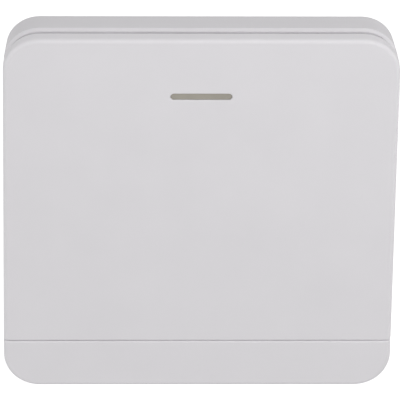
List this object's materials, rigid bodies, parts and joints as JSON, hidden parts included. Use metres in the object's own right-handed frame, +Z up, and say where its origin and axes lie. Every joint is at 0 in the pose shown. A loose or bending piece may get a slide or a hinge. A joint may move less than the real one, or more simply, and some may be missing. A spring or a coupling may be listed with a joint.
{
  "type": "wireless remote wall switch",
  "caption": "Square wall plate with one large rocker key over a slim fixed strip, a light slot near the top, and a battery-powered radio board behind the key.",
  "frame": {"origin": "centre of the back of the plate, on the wall", "axes": "+X to the right seen from the front, +Y into the wall, +Z up; the front faces -Y"},
  "size_m": [0.086, 0.0135, 0.086],
  "materials": {
    "white_plastic": "fine satin moulding",
    "light_guide": "smoky translucent",
    "board": "solder mask",
    "steel": "plated",
    "tin": "tinned",
    "black_plastic": "moulded",
    "lamp": "clear lens",
    "copper": "bare strip",
    "capacitor": "fired"
  },
  "bodies": {
    "housing": {"housing": "white_plastic", "front_strip": "white_plastic", "back_plate": "white_plastic", "circuit_board": "board", "board_screws": "steel", "switch_base": "black_plastic", "switch_cover": "steel", "switch_dome": "steel", "switch_terminals": "tin", "status_lamp": "lamp", "coin_cell": "steel", "cell_holder": "black_plastic", "cell_contact_negative": "tin", "cell_contact_positive": "tin", "radio_chip": "black_plastic", "radio_chip_leads": "tin", "crystal": "steel", "antenna_loop": "copper", "chip_resistors": "black_plastic", "chip_capacitors": "capacitor", "chip_ends": "tin"},
    "rocker": {"rocker": "white_plastic", "light_guide": "light_guide"},
    "plunger": {"switch_plunger": "black_plastic"}
  },
  "joints": [
    {"name": "rocker_press", "type": "hinge", "parent": "housing", "child": "rocker", "pos_m": [0, -0.0066, -0.0275], "axis": [-1, 0, 0], "range_deg": [0, 0.57], "stiffness_Nm_per_rad": 2.4, "springref_deg": -0.57},
    {"name": "plunger_press", "type": "slide", "parent": "housing", "child": "plunger", "axis": [0, 1, 0], "range_m": [0, 0.0003], "deforming": ["switch_dome"]}
  ],
  "couplings": [
    {"joint": "plunger_press", "follows": "rocker_press", "m_per_rad": 0.03}
  ]
}
